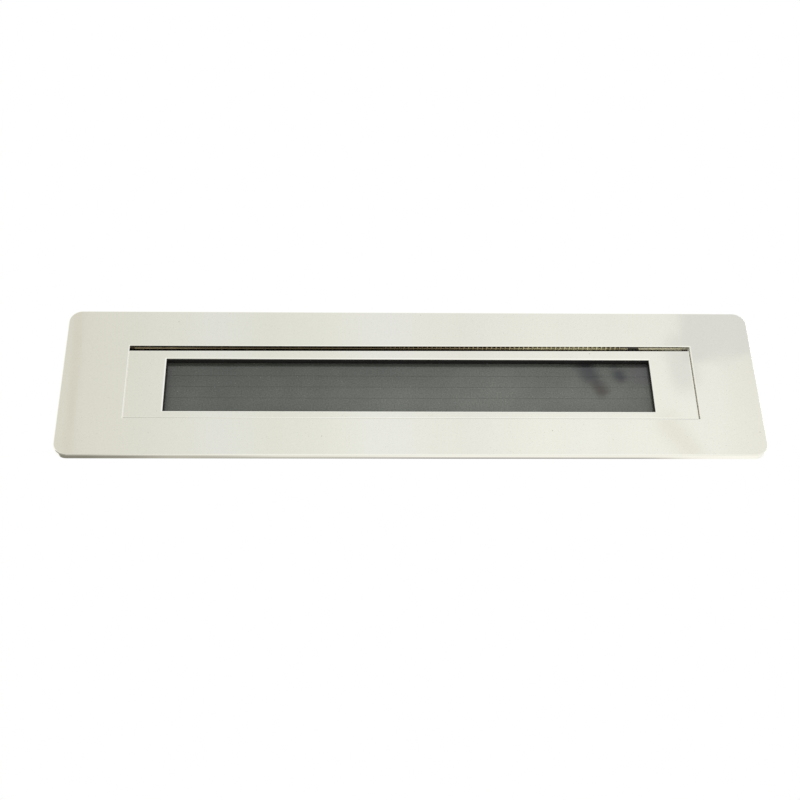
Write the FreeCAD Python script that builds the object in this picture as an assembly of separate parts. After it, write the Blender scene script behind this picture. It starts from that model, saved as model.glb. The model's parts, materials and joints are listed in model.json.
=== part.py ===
import FreeCAD, Part
import math
import os

# Letter plate with a flush, inward-opening sprung flap and a dark panel in the flap's window.
# Frame: millimetres, +Z to the plate's top (hinge) edge, +X to the right seen from the street,
# -Y out of the visible face. The origin is the centre of the plate's rear face, which seats on
# the door, midway between the two fixing studs.

V = FreeCAD.Vector
X_DIR = V(1, 0, 0)
Y_DIR = V(0, 1, 0)
TINY = 1e-4

# ---- driving dimensions -------------------------------------------------------------------
# front plate: the margins are the metal left around the aperture
PLATE_W = 305.0
PLATE_H = 76.2
PLATE_T = 3.0
PLATE_CORNER_R = 6.0
PLATE_BEVEL = 0.4
END_MARGIN = 28.0
TOP_MARGIN = 19.2
BOTTOM_MARGIN = 18.5
EDGE_CHAMFER = 0.25

# flap frame, flush with the plate's face: its gaps, stiles and rails
GAP_SIDE = 0.2
GAP_BOTTOM = 0.3
GAP_TOP = 2.4
STILE_LEFT_W = 16.65
STILE_RIGHT_W = 18.5
RAIL_TOP_H = 4.6
RAIL_BOTTOM_H = 3.55

# dark window panel, and the seal that it is bedded on and that lines the window's walls
SEAL_T = 0.5
SEAL_LINING_T = 0.3
SEAL_LINING_BACK = 0.35
PANEL_LAP = 2.2
GROOVE_COUNT = 3
GROOVE_PITCH = 5.9
GROOVE_RISE = 0.8
GROOVE_W = 0.25
GROOVE_D = 0.06

# hinge rod, with the clearances that place it behind the gap at the flap's top
ROD_R = 1.25
ROD_END = 2.2
ROD_CHAMFER = 0.3
ROD_AIR = 0.15
HINGE_AIR = 0.4
RUNNING_CLEARANCE = 0.05

# rod hardware
END_FLOAT = 0.15
SPACER_WALL = 0.5
CLIP_LIP = 0.5
CLIP_T = 0.5
CLIP_GROOVE_D = 0.3
CLIP_MOUTH = 1.3
CLIP_AIR = 0.03

# knuckles that carry the flap on the rod, and their rivets
KNUCKLE_WALL = 0.8
KNUCKLE_MOUTH = 0.6
KNUCKLE_W = 9.0
KNUCKLE_TAB_H = 6.6
KNUCKLE_END_INSET = 2.0
RIVET_R = 1.0
RIVET_AIR = 0.03
RIVET_HEAD_R = 1.8
RIVET_HEAD_H = 0.7
RIVET_PITCH = 4.6

# backplate that clamps the panel and closes on the draught seals
BACK_T = 1.2
BACK_LAP = 5.0
BACK_OPENING_INSET = 3.4
BACK_TOP_AIR = 0.5
NECK_INSET = 0.8
SHOULDER_DROP = 5.4
BACK_CORNER_R = 2.0
STRIP_AIR = 0.1
STRIP_SETBACK = 0.7

# hinge seal: a flexible lip behind the rod, on a pressed angle
CARRIER_T = 0.8
CARRIER_FOOT_H = 8.0
CARRIER_END_AIR = 0.3
CARRIER_RISE = 1.3
LIP_T = 0.7
LIP_BOND_W = 1.6
LIP_AIR = 0.3
LIP_TO_SHOULDER = 1.0

# flap screws: M3 pan heads into posts on the flap frame
SCREW_R = 1.5
SCREW_HEAD_R = 2.8
SCREW_HEAD_H = 1.9
SCREW_ENGAGE = 3.2
SCREW_HOLE_CLEARANCE = 0.2
SCREW_TIP_AIR = 0.2
THREAD_AIR = 0.03
POST_WALL = 1.9
POST_EDGE_X = 5.2
POST_EDGE_Z = 0.2
LOCK_WASHER_W = 1.3
LOCK_WASHER_T = 0.6
DRIVE_SLOT_W = 0.8
DRIVE_SLOT_D = 0.9

# hinge brackets on the plate's rear, held by nuts on weld studs
BRACKET_GAP = 2.2
BRACKET_T = 1.5
BRACKET_REACH = 2.6
BRACKET_RELIEF = 1.8
BRACKET_FOOT_W = 8.0
BRACKET_FOOT_H = 11.5
WELD_STUD_R = 1.5
WELD_STUD_PROUD = 1.8
WELD_STUD_CLEARANCE = 0.2
STUD_WASHER_W = 1.5
STUD_WASHER_T = 0.5
STUD_NUT_AF = 5.5
STUD_NUT_H = 2.4

# closing spring on the rod, and the collar that keeps it from creeping along
SPRING_START_X = -12.0
SPRING_WIRE = 0.7
SPRING_BORE_AIR = 0.15
SPRING_TURNS = 52
SPRING_REAR_LEG_L = 8.0
SPRING_FRONT_LEG_L = 3.0
SPRING_SEAT_AIR = 0.05
SPRING_TO_KNUCKLE = 5.5
COLLAR_W = 4.4
COLLAR_WALL = 0.9
COLLAR_AIR = 0.5
COLLAR_BORE_AIR = 0.02
COLLAR_TO_KNUCKLE = 11.0
GRUB_R = 0.7
GRUB_PROUD = 0.2
GRUB_SOCKET_AF = 0.7
GRUB_SOCKET_D = 0.6

# concealed fixing studs, welded to the plate's rear
STUD_R = 2.5
STUD_L = 48.0
STUD_CHAMFER = 0.6
STUD_SLOT_W = 1.0
STUD_SLOT_D = 1.2

# ---- places worked out from them ------------------------------------------------------------
FACE_Y = -PLATE_T
APERTURE_X = PLATE_W / 2 - END_MARGIN
APERTURE_TOP = PLATE_H / 2 - TOP_MARGIN
APERTURE_BOTTOM = BOTTOM_MARGIN - PLATE_H / 2

FLAP_X = APERTURE_X - GAP_SIDE
FLAP_TOP = APERTURE_TOP - GAP_TOP
FLAP_BOTTOM = APERTURE_BOTTOM + GAP_BOTTOM
WINDOW_LEFT = STILE_LEFT_W - FLAP_X
WINDOW_RIGHT = FLAP_X - STILE_RIGHT_W
WINDOW_TOP = FLAP_TOP - RAIL_TOP_H
WINDOW_BOTTOM = FLAP_BOTTOM + RAIL_BOTTOM_H

# the panel's face lies in the plane of the plate's rear face, with the seal in front of it
PANEL_Y = 0.0
FLAP_REAR_Y = PANEL_Y - SEAL_T

# the rod stands off the plate by its clips, and the backplate lines up with the knuckles
KNUCKLE_R = ROD_R + RUNNING_CLEARANCE + KNUCKLE_WALL
ROD_Y = ROD_R + CLIP_LIP + ROD_AIR
ROD_Z = APERTURE_TOP - math.sqrt(max((KNUCKLE_R + HINGE_AIR) ** 2 - ROD_Y ** 2, 0.0))
BACK_REAR_Y = ROD_Y + KNUCKLE_R - KNUCKLE_WALL
BACK_Y = BACK_REAR_Y - BACK_T
BACK_X = APERTURE_X + BACK_LAP
BACK_TOP = ROD_Z - KNUCKLE_R - BACK_TOP_AIR
BACK_BOTTOM = APERTURE_BOTTOM - BACK_LAP
NECK_X = APERTURE_X - NECK_INSET
BRACKET_X = APERTURE_X + BRACKET_GAP
BRACKET_BOTTOM = ROD_Z - ROD_R - BRACKET_REACH
SHOULDER_Z = BRACKET_BOTTOM - SHOULDER_DROP
STRIP_W = BACK_LAP - 2 * STRIP_SETBACK

LIP_Y = BACK_REAR_Y + KNUCKLE_WALL + RIVET_HEAD_H + LIP_AIR
LIP_BOTTOM = SHOULDER_Z + LIP_TO_SHOULDER
CARRIER_Z = ROD_Z + KNUCKLE_R + CARRIER_RISE

POST_R = SCREW_R + POST_WALL
SCREW_X = FLAP_X - POST_EDGE_X - POST_R
SCREW_Z_LOW = FLAP_BOTTOM + POST_EDGE_Z + POST_R
SCREW_Z_HIGH = SHOULDER_Z - POST_EDGE_Z - POST_R
SCREW_TIP_Y = BACK_Y - SCREW_ENGAGE
SCREW_SEAT_Y = BACK_REAR_Y + LOCK_WASHER_T

KNUCKLE_END_X = APERTURE_X - KNUCKLE_END_INSET - KNUCKLE_W / 2
KNUCKLE_MID_X = SPRING_START_X - SPRING_TO_KNUCKLE - KNUCKLE_W / 2
RIVET_Z = ROD_Z - KNUCKLE_R - KNUCKLE_TAB_H / 2
COLLAR_X1 = KNUCKLE_END_X - KNUCKLE_W / 2 - COLLAR_TO_KNUCKLE
COLLAR_X0 = COLLAR_X1 - COLLAR_W
COLLAR_R = ROD_R + COLLAR_WALL
SPRING_R = ROD_R + SPRING_BORE_AIR + SPRING_WIRE / 2
SPRING_END_X = COLLAR_X0 - COLLAR_AIR - SPRING_WIRE / 2
SPRING_PITCH = (SPRING_END_X - SPRING_START_X) / (SPRING_TURNS + 1)

CLIP_X = BRACKET_X + BRACKET_T + END_FLOAT
CLIP_R = ROD_R + CLIP_LIP
CLIP_GROOVE_R = ROD_R - CLIP_GROOVE_D
ROD_X = CLIP_X + CLIP_T + ROD_END
FOOT_Z0 = ROD_Z + CLIP_R + BRACKET_RELIEF
WELD_STUD_X = BRACKET_X + BRACKET_T + BRACKET_FOOT_W / 2
WELD_STUD_Z = FOOT_Z0 + BRACKET_FOOT_H / 2
WELD_STUD_L = BRACKET_T + STUD_WASHER_T + STUD_NUT_H + WELD_STUD_PROUD

STUD_X = (PLATE_W / 2 + APERTURE_X) / 2


# ---- small makers ---------------------------------------------------------------------------
def box(x0, x1, y0, y1, z0, z1):
    return Part.makeBox(x1 - x0, y1 - y0, z1 - z0, V(x0, y0, z0))


def rod_along_x(x0, x1, radius, y, z):
    return Part.makeCylinder(radius, x1 - x0, V(x0, y, z), X_DIR)


def rod_along_y(x, z, radius, y0, y1):
    return Part.makeCylinder(radius, y1 - y0, V(x, y0, z), Y_DIR)


def tube_along_x(x0, x1, outer, inner, y, z):
    return rod_along_x(x0, x1, outer, y, z).cut(rod_along_x(x0 - 1, x1 + 1, inner, y, z))


def washer_along_y(x, z, outer, inner, y0, y1):
    return rod_along_y(x, z, outer, y0, y1).cut(rod_along_y(x, z, inner, y0 - 1, y1 + 1))


def edges_at_y(shape, y):
    """Every edge that lies in the plane at y."""
    return [e for e in shape.Edges if abs(e.BoundBox.YMin - y) < TINY and abs(e.BoundBox.YMax - y) < TINY]


def edges_along_y(shape):
    """The straight edges that run through the thickness, such as a plate's corners."""
    return [e for e in shape.Edges if e.BoundBox.XLength < TINY and e.BoundBox.ZLength < TINY]


def rounded_sheet(x0, x1, y0, y1, z0, z1, radius):
    sheet = box(x0, x1, y0, y1, z0, z1)
    return sheet.makeFillet(radius, edges_along_y(sheet))


def prism_along_y(points, y0, y1):
    corners = [V(x, y0, z) for x, z in points]
    return Part.Face(Part.makePolygon(corners + corners[:1])).extrude(V(0, y1 - y0, 0))


def hexagon_along_y(x, z, across_flats, y0, y1):
    radius = across_flats / math.sqrt(3)
    angles = [math.radians(60 * i) for i in range(6)]
    return prism_along_y([(x + radius * math.cos(a), z + radius * math.sin(a)) for a in angles], y0, y1)


def mirrored(shape):
    return shape.mirror(V(0, 0, 0), X_DIR)


def pair(right_piece):
    """The right-hand piece and its mirror image at the left, as two separate solids."""
    return Part.makeCompound([mirrored(right_piece), right_piece])


# ---- front plate ----------------------------------------------------------------------------
def front_plate():
    plate = rounded_sheet(-PLATE_W / 2, PLATE_W / 2, FACE_Y, 0, -PLATE_H / 2, PLATE_H / 2, PLATE_CORNER_R)
    plate = plate.makeChamfer(PLATE_BEVEL, edges_at_y(plate, FACE_Y))
    aperture = box(-APERTURE_X, APERTURE_X, FACE_Y, 0, APERTURE_BOTTOM, APERTURE_TOP)
    return bevel_inner_rim(plate.cut(aperture), -APERTURE_X, APERTURE_X, APERTURE_BOTTOM, APERTURE_TOP)


def bevel_inner_rim(sheet, x0, x1, z0, z1):
    """Chamfer the face edges of the rectangular opening x0..x1, z0..z1."""
    rim = []
    for edge in edges_at_y(sheet, FACE_Y):
        b = edge.BoundBox
        if b.XMin > x0 - TINY and b.XMax < x1 + TINY and b.ZMin > z0 - TINY and b.ZMax < z1 + TINY:
            rim.append(edge)
    return sheet.makeChamfer(EDGE_CHAMFER, rim)


# ---- flap: frame, seal, panel, backplate ----------------------------------------------------
def screw_places():
    return [(x, z) for x in (-SCREW_X, SCREW_X) for z in (SCREW_Z_LOW, SCREW_Z_HIGH)]


def flap_frame():
    frame = box(-FLAP_X, FLAP_X, FACE_Y, FLAP_REAR_Y, FLAP_BOTTOM, FLAP_TOP)
    frame = frame.cut(box(WINDOW_LEFT, WINDOW_RIGHT, FACE_Y, FLAP_REAR_Y, WINDOW_BOTTOM, WINDOW_TOP))
    frame = frame.makeChamfer(EDGE_CHAMFER, edges_at_y(frame, FACE_Y))
    for x, z in screw_places():
        frame = frame.fuse(rod_along_y(x, z, POST_R, FLAP_REAR_Y, BACK_Y))
        frame = frame.cut(rod_along_y(x, z, SCREW_R + THREAD_AIR, SCREW_TIP_Y - SCREW_TIP_AIR, BACK_Y))
    return frame


def window_sheet(grow, y0, y1):
    return box(WINDOW_LEFT - grow, WINDOW_RIGHT + grow, y0, y1, WINDOW_BOTTOM - grow, WINDOW_TOP + grow)


def panel_seal():
    front = FACE_Y + SEAL_LINING_BACK
    lining = window_sheet(0, front, PANEL_Y)
    ring = window_sheet(PANEL_LAP, FLAP_REAR_Y, PANEL_Y)
    seal = ring.fuse(lining).removeSplitter()
    return seal.cut(window_sheet(-SEAL_LINING_T, front, PANEL_Y))


def window_panel():
    panel = window_sheet(PANEL_LAP, PANEL_Y, BACK_Y)
    middle = (WINDOW_TOP + WINDOW_BOTTOM) / 2 + GROOVE_RISE
    for i in range(GROOVE_COUNT):
        z = middle + (i - (GROOVE_COUNT - 1) / 2) * GROOVE_PITCH
        panel = panel.cut(box(WINDOW_LEFT, WINDOW_RIGHT, PANEL_Y, PANEL_Y + GROOVE_D,
                              z - GROOVE_W / 2, z + GROOVE_W / 2))
    return panel


def flap_backplate():
    plate = rounded_sheet(-BACK_X, BACK_X, BACK_Y, BACK_REAR_Y, BACK_BOTTOM, SHOULDER_Z, BACK_CORNER_R)
    neck = box(-NECK_X, NECK_X, BACK_Y, BACK_REAR_Y, BACK_BOTTOM + BACK_CORNER_R, BACK_TOP)
    plate = plate.fuse(neck).removeSplitter()
    inset = BACK_OPENING_INSET
    opening = rounded_sheet(WINDOW_LEFT + inset, WINDOW_RIGHT - inset, BACK_Y, BACK_REAR_Y,
                            WINDOW_BOTTOM + inset, WINDOW_TOP - inset, BACK_CORNER_R)
    plate = plate.cut(opening)
    for x, z in screw_places():
        plate = plate.cut(rod_along_y(x, z, SCREW_R + SCREW_HOLE_CLEARANCE, BACK_Y, BACK_REAR_Y))
    for x, z in rivet_places():
        plate = plate.cut(rod_along_y(x, z, RIVET_R + RIVET_AIR, BACK_Y, BACK_REAR_Y))
    return plate


def pan_screw(x, z):
    top = SCREW_SEAT_Y + SCREW_HEAD_H
    head = rod_along_y(x, z, SCREW_HEAD_R, SCREW_SEAT_Y, top)
    head = head.makeFillet(SCREW_HEAD_H / 2, edges_at_y(head, top))
    half = DRIVE_SLOT_W / 2
    head = head.cut(box(x - SCREW_R, x + SCREW_R, top - DRIVE_SLOT_D, top, z - half, z + half))
    head = head.cut(box(x - half, x + half, top - DRIVE_SLOT_D, top, z - SCREW_R, z + SCREW_R))
    return head.fuse(rod_along_y(x, z, SCREW_R, SCREW_TIP_Y, SCREW_SEAT_Y))


def backplate_screws():
    return Part.makeCompound([pan_screw(x, z) for x, z in screw_places()])


def backplate_washers():
    inner = SCREW_R + SCREW_HOLE_CLEARANCE
    outer = inner + LOCK_WASHER_W
    return Part.makeCompound([washer_along_y(x, z, outer, inner, BACK_REAR_Y, SCREW_SEAT_Y)
                              for x, z in screw_places()])


# ---- hinge ------------------------------------------------------------------------------------
def knuckle_xs():
    return (-KNUCKLE_END_X, KNUCKLE_MID_X, KNUCKLE_END_X)


def rivet_places():
    half = RIVET_PITCH / 2
    return [(x + offset, RIVET_Z) for x in knuckle_xs() for offset in (-half, half)]


def knuckle(x):
    """A hook rolled from strip, open to the front, with its tab riveted to the backplate's rear."""
    x0 = x - KNUCKLE_W / 2
    x1 = x + KNUCKLE_W / 2
    rear = BACK_REAR_Y + KNUCKLE_WALL
    tab = box(x0, x1, BACK_REAR_Y, rear, ROD_Z - KNUCKLE_R - KNUCKLE_TAB_H, ROD_Z)
    body = rod_along_x(x0, x1, KNUCKLE_R, ROD_Y, ROD_Z).fuse(tab).removeSplitter()
    body = body.cut(rod_along_x(x0, x1, ROD_R + RUNNING_CLEARANCE, ROD_Y, ROD_Z))
    mouth = ROD_Y - KNUCKLE_MOUTH
    body = body.cut(box(x0, x1, mouth - KNUCKLE_R, mouth, ROD_Z - KNUCKLE_R, ROD_Z + KNUCKLE_R))
    for offset in (-RIVET_PITCH / 2, RIVET_PITCH / 2):
        body = body.cut(rod_along_y(x + offset, RIVET_Z, RIVET_R + RIVET_AIR, BACK_REAR_Y, rear))
    return body


def dome_rivet(x, z):
    rear = BACK_REAR_Y + KNUCKLE_WALL
    dome_r = (RIVET_HEAD_R ** 2 + RIVET_HEAD_H ** 2) / (2 * RIVET_HEAD_H)
    dome = Part.makeSphere(dome_r, V(x, rear + RIVET_HEAD_H - dome_r, z))
    head = dome.common(rod_along_y(x, z, 2 * RIVET_HEAD_R, rear, rear + 2 * RIVET_HEAD_H))
    return head.fuse(rod_along_y(x, z, RIVET_R, BACK_Y, rear))


def knuckle_rivets():
    return Part.makeCompound([dome_rivet(x, z) for x, z in rivet_places()])


def hinge_rod():
    rod = rod_along_x(-ROD_X, ROD_X, ROD_R, ROD_Y, ROD_Z)
    rod = rod.makeChamfer(ROD_CHAMFER, [e for e in rod.Edges if e.BoundBox.XLength < TINY])
    groove = tube_along_x(CLIP_X, CLIP_X + CLIP_T, 2 * ROD_R, CLIP_GROOVE_R, ROD_Y, ROD_Z)
    return rod.cut(groove).cut(mirrored(groove))


def rod_clip():
    clip = tube_along_x(CLIP_X + CLIP_AIR, CLIP_X + CLIP_T - CLIP_AIR, CLIP_R,
                        CLIP_GROOVE_R + CLIP_AIR, ROD_Y, ROD_Z)
    half = CLIP_MOUTH / 2
    return clip.cut(box(CLIP_X, CLIP_X + CLIP_T, ROD_Y, ROD_Y + 2 * CLIP_R, ROD_Z - half, ROD_Z + half))


def rod_spacer():
    x0 = KNUCKLE_END_X + KNUCKLE_W / 2 + END_FLOAT
    bore = ROD_R + RUNNING_CLEARANCE
    return tube_along_x(x0, BRACKET_X - END_FLOAT, bore + SPACER_WALL - ROD_AIR, bore, ROD_Y, ROD_Z)


def hinge_bracket():
    """The right bracket: an ear that holds the rod, and a foot on the plate's rear."""
    ear_x1 = BRACKET_X + BRACKET_T
    top = FOOT_Z0 + BRACKET_FOOT_H
    ear = box(BRACKET_X, ear_x1, 0, ROD_Y + ROD_R + BRACKET_REACH, BRACKET_BOTTOM, top)
    foot = box(BRACKET_X, ear_x1 + BRACKET_FOOT_W, 0, BRACKET_T, FOOT_Z0, top)
    body = ear.fuse(foot).removeSplitter()
    body = body.cut(rod_along_x(BRACKET_X, ear_x1, ROD_R + RUNNING_CLEARANCE, ROD_Y, ROD_Z))
    hole_r = WELD_STUD_R + WELD_STUD_CLEARANCE
    return body.cut(rod_along_y(WELD_STUD_X, WELD_STUD_Z, hole_r, 0, BRACKET_T))


def bracket_stud():
    return rod_along_y(WELD_STUD_X, WELD_STUD_Z, WELD_STUD_R, 0, WELD_STUD_L)


def bracket_washer():
    inner = WELD_STUD_R + WELD_STUD_CLEARANCE
    return washer_along_y(WELD_STUD_X, WELD_STUD_Z, inner + STUD_WASHER_W, inner,
                          BRACKET_T, BRACKET_T + STUD_WASHER_T)


def bracket_nut():
    y0 = BRACKET_T + STUD_WASHER_T
    nut = hexagon_along_y(WELD_STUD_X, WELD_STUD_Z, STUD_NUT_AF, y0, y0 + STUD_NUT_H)
    return nut.cut(rod_along_y(WELD_STUD_X, WELD_STUD_Z, WELD_STUD_R + THREAD_AIR, y0, y0 + STUD_NUT_H))


# ---- closing spring and collar ----------------------------------------------------------------
def spring_exit_angle():
    """Angle past the rearmost point at which a straight leg just meets the plate's rear face."""
    rise = SPRING_PITCH / (2 * math.pi)
    run = SPRING_FRONT_LEG_L * SPRING_R / math.hypot(SPRING_R, rise)
    depth = SPRING_WIRE / 2 + SPRING_SEAT_AIR - ROD_Y
    return math.acos(depth / math.hypot(SPRING_R, run)) - math.atan2(run, SPRING_R)


def closing_spring():
    """One leg lies on the backplate's rear, the other on the plate's rear above the aperture."""
    turns = SPRING_TURNS + spring_exit_angle() / (2 * math.pi)
    coil = Part.makeHelix(SPRING_PITCH, SPRING_PITCH * turns, SPRING_R)
    axis_along_x = FreeCAD.Rotation(V(1, 1, 1), 120)
    coil.Placement = FreeCAD.Placement(V(SPRING_START_X, ROD_Y, ROD_Z), axis_along_x)
    first = coil.Edges[0]
    last = coil.Edges[-1]
    start = first.valueAt(first.FirstParameter)
    start_dir = first.tangentAt(first.FirstParameter)
    end = last.valueAt(last.LastParameter)
    end_dir = last.tangentAt(last.LastParameter)
    tip = start - start_dir * SPRING_REAR_LEG_L
    leg_in = Part.makeLine(tip, start)
    leg_out = Part.makeLine(end, end + end_dir * SPRING_FRONT_LEG_L)
    path = Part.Wire([leg_in] + coil.Edges + [leg_out])
    section = Part.Wire(Part.makeCircle(SPRING_WIRE / 2, tip, start_dir))
    return path.makePipeShell([section], True, True)


def spring_collar():
    collar = tube_along_x(COLLAR_X0, COLLAR_X1, COLLAR_R, ROD_R + COLLAR_BORE_AIR, ROD_Y, ROD_Z)
    middle = (COLLAR_X0 + COLLAR_X1) / 2
    return collar.cut(rod_along_y(middle, ROD_Z, GRUB_R + THREAD_AIR, ROD_Y, ROD_Y + 2 * COLLAR_R))


def collar_grub_screw():
    middle = (COLLAR_X0 + COLLAR_X1) / 2
    rear = ROD_Y + COLLAR_R + GRUB_PROUD
    grub = rod_along_y(middle, ROD_Z, GRUB_R, ROD_Y + ROD_R, rear)
    return grub.cut(hexagon_along_y(middle, ROD_Z, GRUB_SOCKET_AF, rear - GRUB_SOCKET_D, rear))


# ---- draught seals ------------------------------------------------------------------------------
def hinge_seal_carrier():
    """A pressed angle across the plate's rear above the hinge; its shelf carries the hinge seal."""
    half = BRACKET_X - CARRIER_END_AIR
    foot = box(-half, half, 0, CARRIER_T, CARRIER_Z, CARRIER_Z + CARRIER_FOOT_H)
    shelf = box(-half, half, 0, LIP_Y + LIP_T, CARRIER_Z, CARRIER_Z + CARRIER_T)
    return foot.fuse(shelf).removeSplitter()


def hinge_seal():
    """A flexible lip, bonded under the shelf, that hangs behind the rod and the knuckles."""
    half = BRACKET_X - CARRIER_END_AIR
    bond = box(-half, half, LIP_Y - LIP_BOND_W, LIP_Y + LIP_T, CARRIER_Z - LIP_T, CARRIER_Z)
    lip = box(-half, half, LIP_Y, LIP_Y + LIP_T, LIP_BOTTOM, CARRIER_Z - LIP_T)
    return bond.fuse(lip).removeSplitter()


def seal_side():
    x0 = APERTURE_X + STRIP_SETBACK
    return box(x0, x0 + STRIP_W, 0, BACK_Y - STRIP_AIR, APERTURE_BOTTOM - STRIP_SETBACK,
               SHOULDER_Z - BACK_CORNER_R)


def seal_bottom():
    half = APERTURE_X + STRIP_SETBACK + STRIP_W
    top = APERTURE_BOTTOM - STRIP_SETBACK
    return box(-half, half, 0, BACK_Y - STRIP_AIR, top - STRIP_W, top)


# ---- fixing studs -------------------------------------------------------------------------------
def fixing_stud():
    stud = rod_along_y(STUD_X, 0, STUD_R, 0, STUD_L)
    stud = stud.makeChamfer(STUD_CHAMFER, edges_at_y(stud, STUD_L))
    half = STUD_SLOT_W / 2
    return stud.cut(box(STUD_X - STUD_R, STUD_X + STUD_R, STUD_L - STUD_SLOT_D, STUD_L, -half, half))


def nodes():
    left, middle, right = knuckle_xs()
    bracket = hinge_bracket()
    seal = seal_side()
    return {
        "front_plate": front_plate(),
        "flap_frame": flap_frame(),
        "panel_seal": panel_seal(),
        "window_panel": window_panel(),
        "flap_backplate": flap_backplate(),
        "backplate_screws": backplate_screws(),
        "backplate_washers": backplate_washers(),
        "knuckle_left": knuckle(left),
        "knuckle_middle": knuckle(middle),
        "knuckle_right": knuckle(right),
        "knuckle_rivets": knuckle_rivets(),
        "hinge_rod": hinge_rod(),
        "rod_clips": pair(rod_clip()),
        "rod_spacers": pair(rod_spacer()),
        "hinge_bracket_left": mirrored(bracket),
        "hinge_bracket_right": bracket,
        "bracket_studs": pair(bracket_stud()),
        "bracket_washers": pair(bracket_washer()),
        "bracket_nuts": pair(bracket_nut()),
        "closing_spring": closing_spring(),
        "spring_collar": spring_collar(),
        "collar_grub_screw": collar_grub_screw(),
        "hinge_seal_carrier": hinge_seal_carrier(),
        "hinge_seal": hinge_seal(),
        "seal_left": mirrored(seal),
        "seal_right": seal,
        "seal_bottom": seal_bottom(),
        "fixing_studs": pair(fixing_stud()),
    }


def main():
    os.makedirs("parts", exist_ok=True)
    for name, shape in nodes().items():
        shape.exportStep("parts/" + name + ".step")
        print(name, len(shape.Solids), shape.isValid(), round(shape.Volume, 1))


main()
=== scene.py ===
from collections import namedtuple
import json
import math

import bmesh
import bpy
from mathutils import Matrix, Vector


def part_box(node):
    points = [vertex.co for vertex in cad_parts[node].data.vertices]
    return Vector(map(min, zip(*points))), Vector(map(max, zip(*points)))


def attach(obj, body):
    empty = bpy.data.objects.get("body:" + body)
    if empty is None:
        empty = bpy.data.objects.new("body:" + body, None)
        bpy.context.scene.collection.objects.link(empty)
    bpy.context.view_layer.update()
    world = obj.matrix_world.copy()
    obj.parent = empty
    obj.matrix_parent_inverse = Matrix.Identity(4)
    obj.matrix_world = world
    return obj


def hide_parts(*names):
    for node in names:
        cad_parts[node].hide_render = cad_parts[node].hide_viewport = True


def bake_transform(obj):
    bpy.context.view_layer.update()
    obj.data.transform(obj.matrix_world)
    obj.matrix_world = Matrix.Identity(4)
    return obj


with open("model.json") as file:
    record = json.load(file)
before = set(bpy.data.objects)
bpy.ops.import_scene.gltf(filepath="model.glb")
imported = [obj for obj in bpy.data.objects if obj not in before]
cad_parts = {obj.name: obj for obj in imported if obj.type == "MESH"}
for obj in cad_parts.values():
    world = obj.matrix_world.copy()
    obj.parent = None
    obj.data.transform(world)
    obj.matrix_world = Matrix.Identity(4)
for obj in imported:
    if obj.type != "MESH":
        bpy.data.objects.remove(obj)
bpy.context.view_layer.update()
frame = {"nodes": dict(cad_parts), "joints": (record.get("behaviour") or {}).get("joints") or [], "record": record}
MM = 0.001

scene = bpy.context.scene
scene.view_settings.view_transform = "Standard"

PLATE_LOW, PLATE_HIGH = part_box("front_plate")
FLAP_LOW, FLAP_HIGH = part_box("flap_frame")
FACE_Y = PLATE_LOW.y


# ---- camera: it looks up at the face from below, at the photograph's angle ----------------------
TILT = math.radians(34.27)
YAW = math.radians(-3.54)
ROLL = math.radians(3.06)
DISTANCE = 658.7 * MM
TARGET = Vector((-5.3 * MM, FACE_Y, -9.88 * MM))
SENSOR_WIDTH = 36.0
FOCAL_LENGTH_PIXELS, IMAGE_WIDTH_PIXELS = 1517.0, 800.0

upright = Matrix.Rotation(math.pi / 2, 3, "X")
turn = (upright @ Matrix.Rotation(YAW, 3, "Z") @ Matrix.Rotation(TILT, 3, "X")
        @ Matrix.Rotation(ROLL, 3, "Z"))
EYE = TARGET + turn @ Vector((0, 0, DISTANCE))

camera_data = bpy.data.cameras.new("camera")
camera_data.sensor_width = SENSOR_WIDTH
camera_data.lens = FOCAL_LENGTH_PIXELS / IMAGE_WIDTH_PIXELS * SENSOR_WIDTH
camera_data.clip_start = 0.01
camera_data.clip_end = 60.0
camera = bpy.data.objects.new("camera", camera_data)
camera.matrix_world = Matrix.Translation(EYE) @ turn.to_4x4()
scene.collection.objects.link(camera)
scene.camera = camera


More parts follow.
